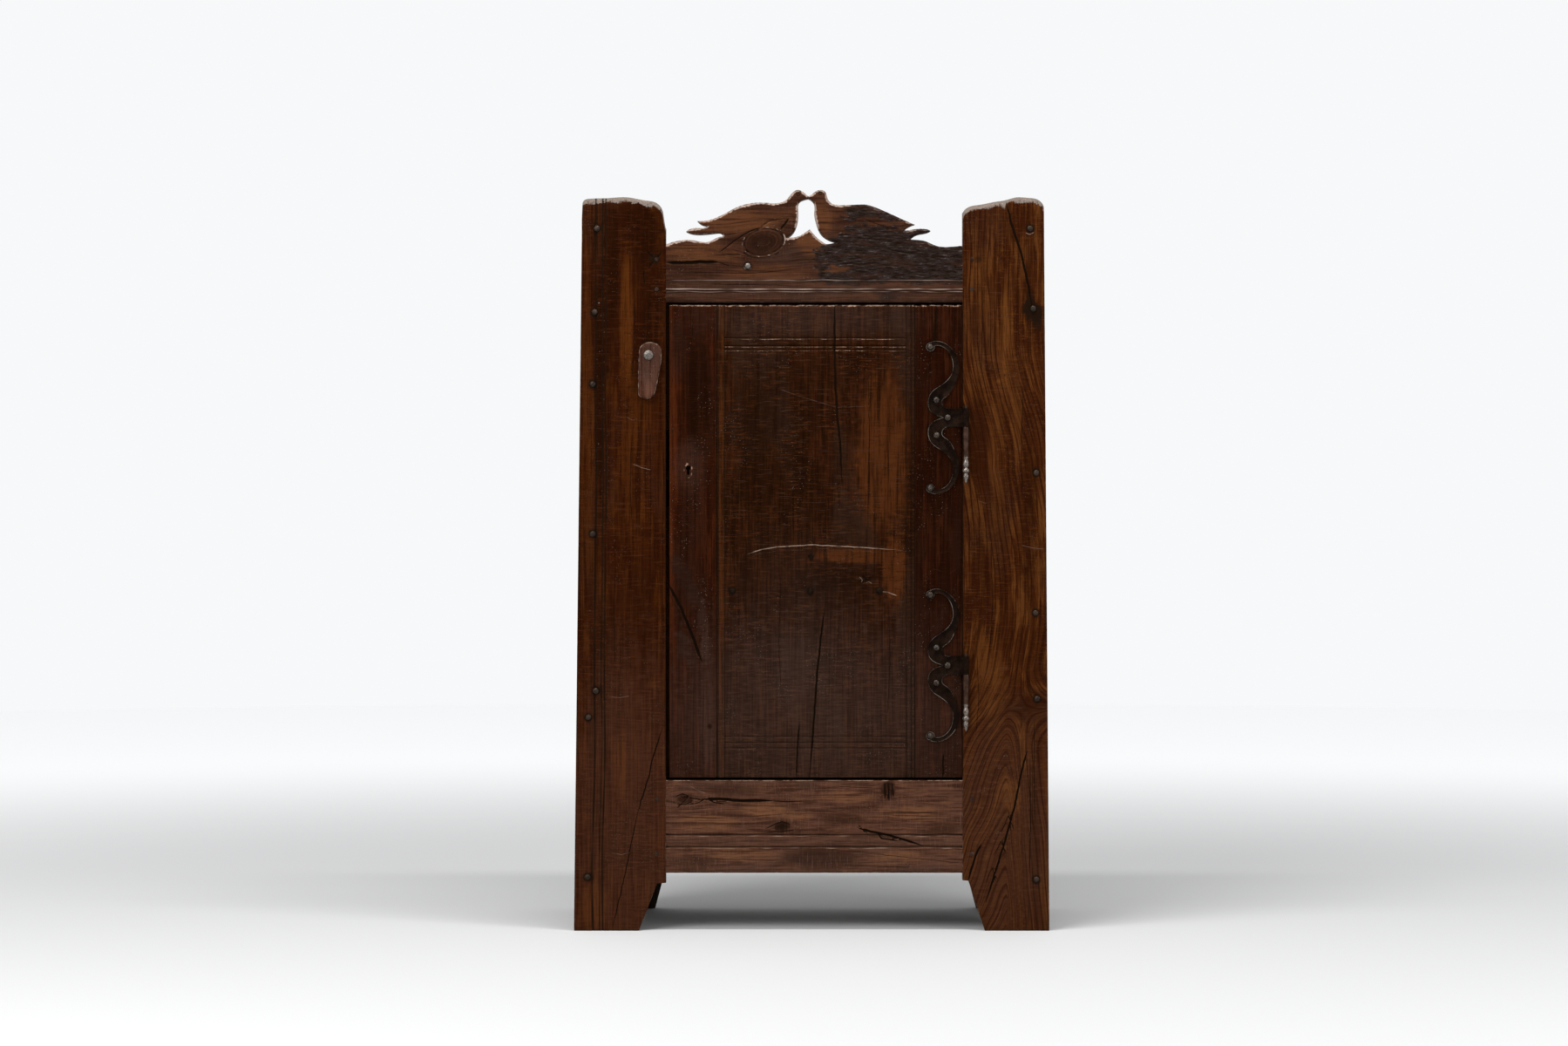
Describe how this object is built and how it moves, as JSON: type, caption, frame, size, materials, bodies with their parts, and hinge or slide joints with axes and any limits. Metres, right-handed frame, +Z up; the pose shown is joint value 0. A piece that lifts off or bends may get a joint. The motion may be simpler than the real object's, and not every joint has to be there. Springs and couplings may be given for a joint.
{
  "type": "boarded cupboard",
  "caption": "Free-standing boarded cupboard with a hinged door, shelves, a wooden turn button, a rim lock and a crest cut as facing doves.",
  "frame": {"origin": "on the floor, under the middle of the whole box, ironwork and nail heads included", "axes": "+X to the right seen from the front, +Y from the front to the back, +Z up"},
  "size_m": [0.9276, 0.4742, 1.4455],
  "materials": {
    "stile_wood": "dark waxed old hardwood, worn pale along its edges",
    "rail_wood": "dark waxed old hardwood with scratched mouldings",
    "door_wood": "dark waxed old hardwood",
    "case_wood": "dark waxed old hardwood, drier than the front",
    "inner_wood": "unwaxed old hardwood",
    "button_wood": "waxed hardwood, paler than the stile",
    "hinge_iron": "forged iron, dark, with edges rubbed bright",
    "lock_iron": "forged iron, dark and dull",
    "nail_iron": "forged iron, heads rubbed bright"
  },
  "bodies": {
    "carcass": {"back_board_1": "case_wood", "back_board_2": "case_wood", "back_board_3": "case_wood", "back_nails": "nail_iron", "bottom_rail": "rail_wood", "button_nail": "nail_iron", "crest_nail": "nail_iron", "crest_rail": "rail_wood", "door_stops": "inner_wood", "floor_back_board": "inner_wood", "floor_cleats": "inner_wood", "floor_front_board": "inner_wood", "frame_pegs": "stile_wood", "inner_nails": "nail_iron", "keeper_nails": "lock_iron", "left_back_stile": "case_wood", "left_front_stile": "stile_wood", "left_side_back_board": "case_wood", "left_side_front_board": "case_wood", "left_side_nails": "nail_iron", "lock_keeper": "lock_iron", "lower_pintle": "hinge_iron", "lower_shelf": "inner_wood", "lower_shelf_cleats": "inner_wood", "right_back_stile": "case_wood", "right_front_stile": "stile_wood", "right_side_back_board": "case_wood", "right_side_front_board": "case_wood", "right_side_nails": "nail_iron", "stile_nails": "nail_iron", "top_back_board": "case_wood", "top_cleats": "inner_wood", "top_front_board": "case_wood", "upper_pintle": "hinge_iron", "upper_shelf": "inner_wood", "upper_shelf_cleats": "inner_wood"},
    "door": {"door_bottom_batten": "inner_wood", "door_centre_board": "door_wood", "door_face_nails": "nail_iron", "door_left_board": "door_wood", "door_middle_batten": "inner_wood", "door_right_board": "door_wood", "door_top_batten": "inner_wood", "batten_nails": "nail_iron", "hinge_nails": "nail_iron", "upper_hinge_strap": "hinge_iron", "lower_hinge_strap": "hinge_iron", "lock_plate": "lock_iron", "lock_case": "lock_iron", "lock_nails": "lock_iron"},
    "turn_button": {"turn_button": "button_wood"},
    "lock_bolt": {"lock_bolt": "lock_iron"}
  },
  "joints": [
    {"name": "door_hinge", "type": "hinge", "parent": "carcass", "child": "door", "pos_m": [0.3007, -0.2239, 0.76], "axis": [0, 0, 1], "range_deg": [0, 170]},
    {"name": "button_turn", "type": "hinge", "parent": "carcass", "child": "turn_button", "pos_m": [-0.3177, -0.2248, 1.1224], "axis": [0, -1, 0], "continuous": true},
    {"name": "lock_bolt_slide", "type": "slide", "parent": "door", "child": "lock_bolt", "axis": [-1, 0, 0], "range_m": [0, 0.02]}
  ]
}
